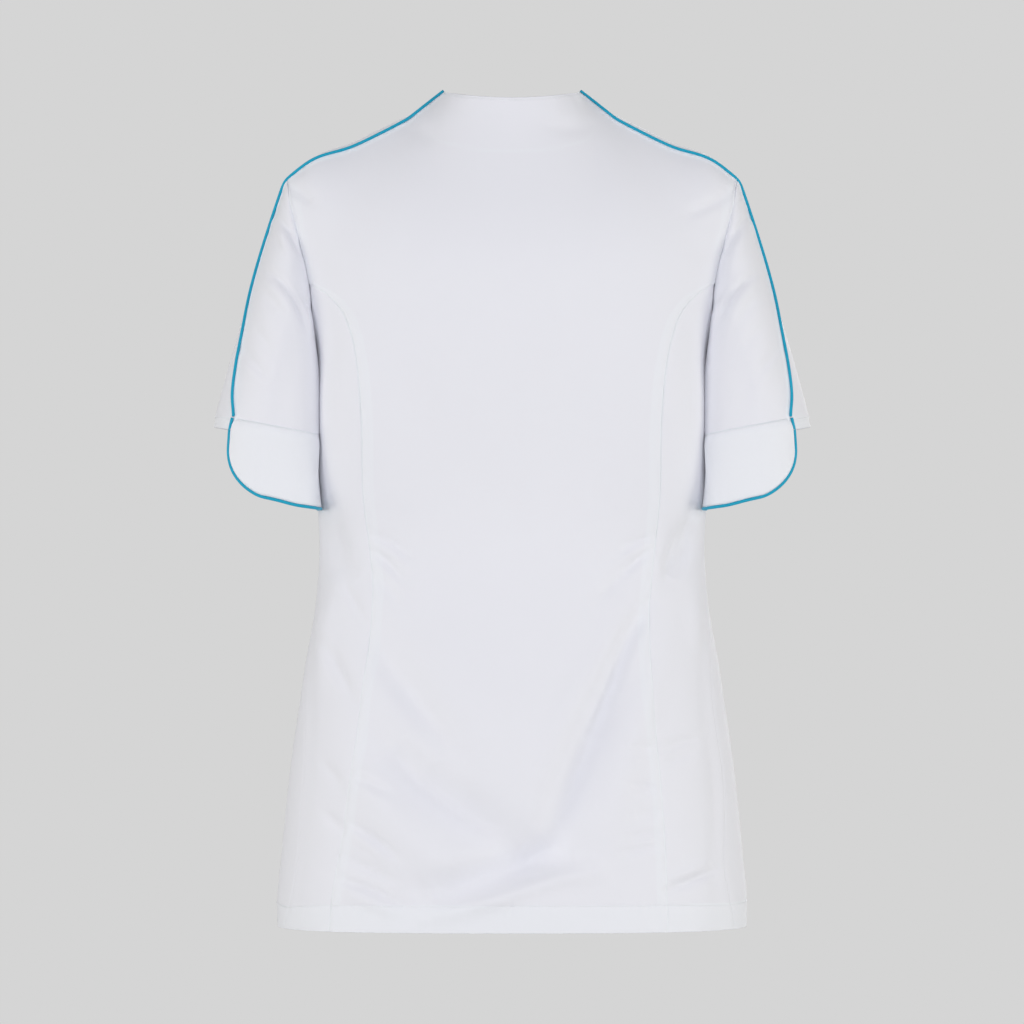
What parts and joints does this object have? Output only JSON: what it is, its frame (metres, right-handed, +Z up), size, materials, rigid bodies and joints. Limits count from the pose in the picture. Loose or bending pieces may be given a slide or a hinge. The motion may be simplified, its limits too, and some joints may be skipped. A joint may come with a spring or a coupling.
{
  "type": "short-sleeved women's work tunic",
  "caption": "White short-sleeved work tunic, filled out as worn: princess seams, grown-on stand collar, V neck, front buttons, and cuffs and shoulder seams piped in turquoise.",
  "frame": {"origin": "on the centre plane at the height of the neck's base, in the middle of the neck opening, where the wearer's shoulders carry the tunic", "axes": "+Z up, +X the wearer's left, -Y the way the wearer faces"},
  "size_m": [0.5268, 0.2688, 0.734],
  "materials": {
    "cloth": "woven",
    "piping": "woven",
    "button": "gloss"
  },
  "bodies": {
    "root": {"back_centre": "cloth", "back_side_left": "cloth", "back_side_right": "cloth", "front_centre_left": "cloth", "front_centre_right": "cloth", "front_side_left": "cloth", "front_side_right": "cloth", "sleeve_back_left": "cloth", "sleeve_back_right": "cloth", "sleeve_front_left": "cloth", "sleeve_front_right": "cloth", "cuff_left": "cloth", "cuff_right": "cloth", "seam_piping_left": "piping", "seam_piping_right": "piping", "cuff_piping_left": "piping", "cuff_piping_right": "piping", "button_1": "button", "button_2": "button", "button_3": "button", "button_4": "button", "button_5": "button", "button_6": "button"}
  },
  "joints": []
}
